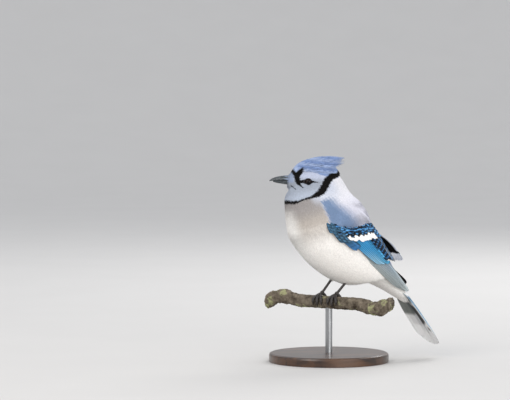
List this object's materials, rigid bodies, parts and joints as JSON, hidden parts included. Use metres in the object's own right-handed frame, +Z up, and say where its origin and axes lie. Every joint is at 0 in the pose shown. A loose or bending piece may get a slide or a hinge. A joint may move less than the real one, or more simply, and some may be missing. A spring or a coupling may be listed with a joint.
{
  "type": "blue jay",
  "caption": "Still life-size model of a crested blue and white songbird gripping a cut length of branch, held over a round base by a short rod.",
  "frame": {"origin": "centre of the round base's underside", "axes": "+Z up; the bird's body faces -Y, its left side is +X; its head is turned about 18 degrees to its right"},
  "size_m": [0.1327, 0.1783, 0.2062],
  "materials": {
    "plumage": "soft matte barred feathers",
    "bill_horn": "dark satin horn",
    "leg_scale": "dark scaled skin",
    "eye": "wet dark brown",
    "bark": "rough grey bark with lichen",
    "rod_steel": "brushed",
    "base_wood": "satin stained hardwood"
  },
  "bodies": {
    "root": {"head": "plumage", "neck": "plumage", "torso": "plumage", "tail": "plumage", "left_wing": "plumage", "right_wing": "plumage", "upper_bill": "bill_horn", "lower_bill": "bill_horn", "left_leg": "leg_scale", "right_leg": "leg_scale", "left_foot": "leg_scale", "right_foot": "leg_scale", "left_eye": "eye", "right_eye": "eye", "perch": "bark", "stand_rod": "rod_steel", "stand_base": "base_wood"}
  },
  "joints": []
}
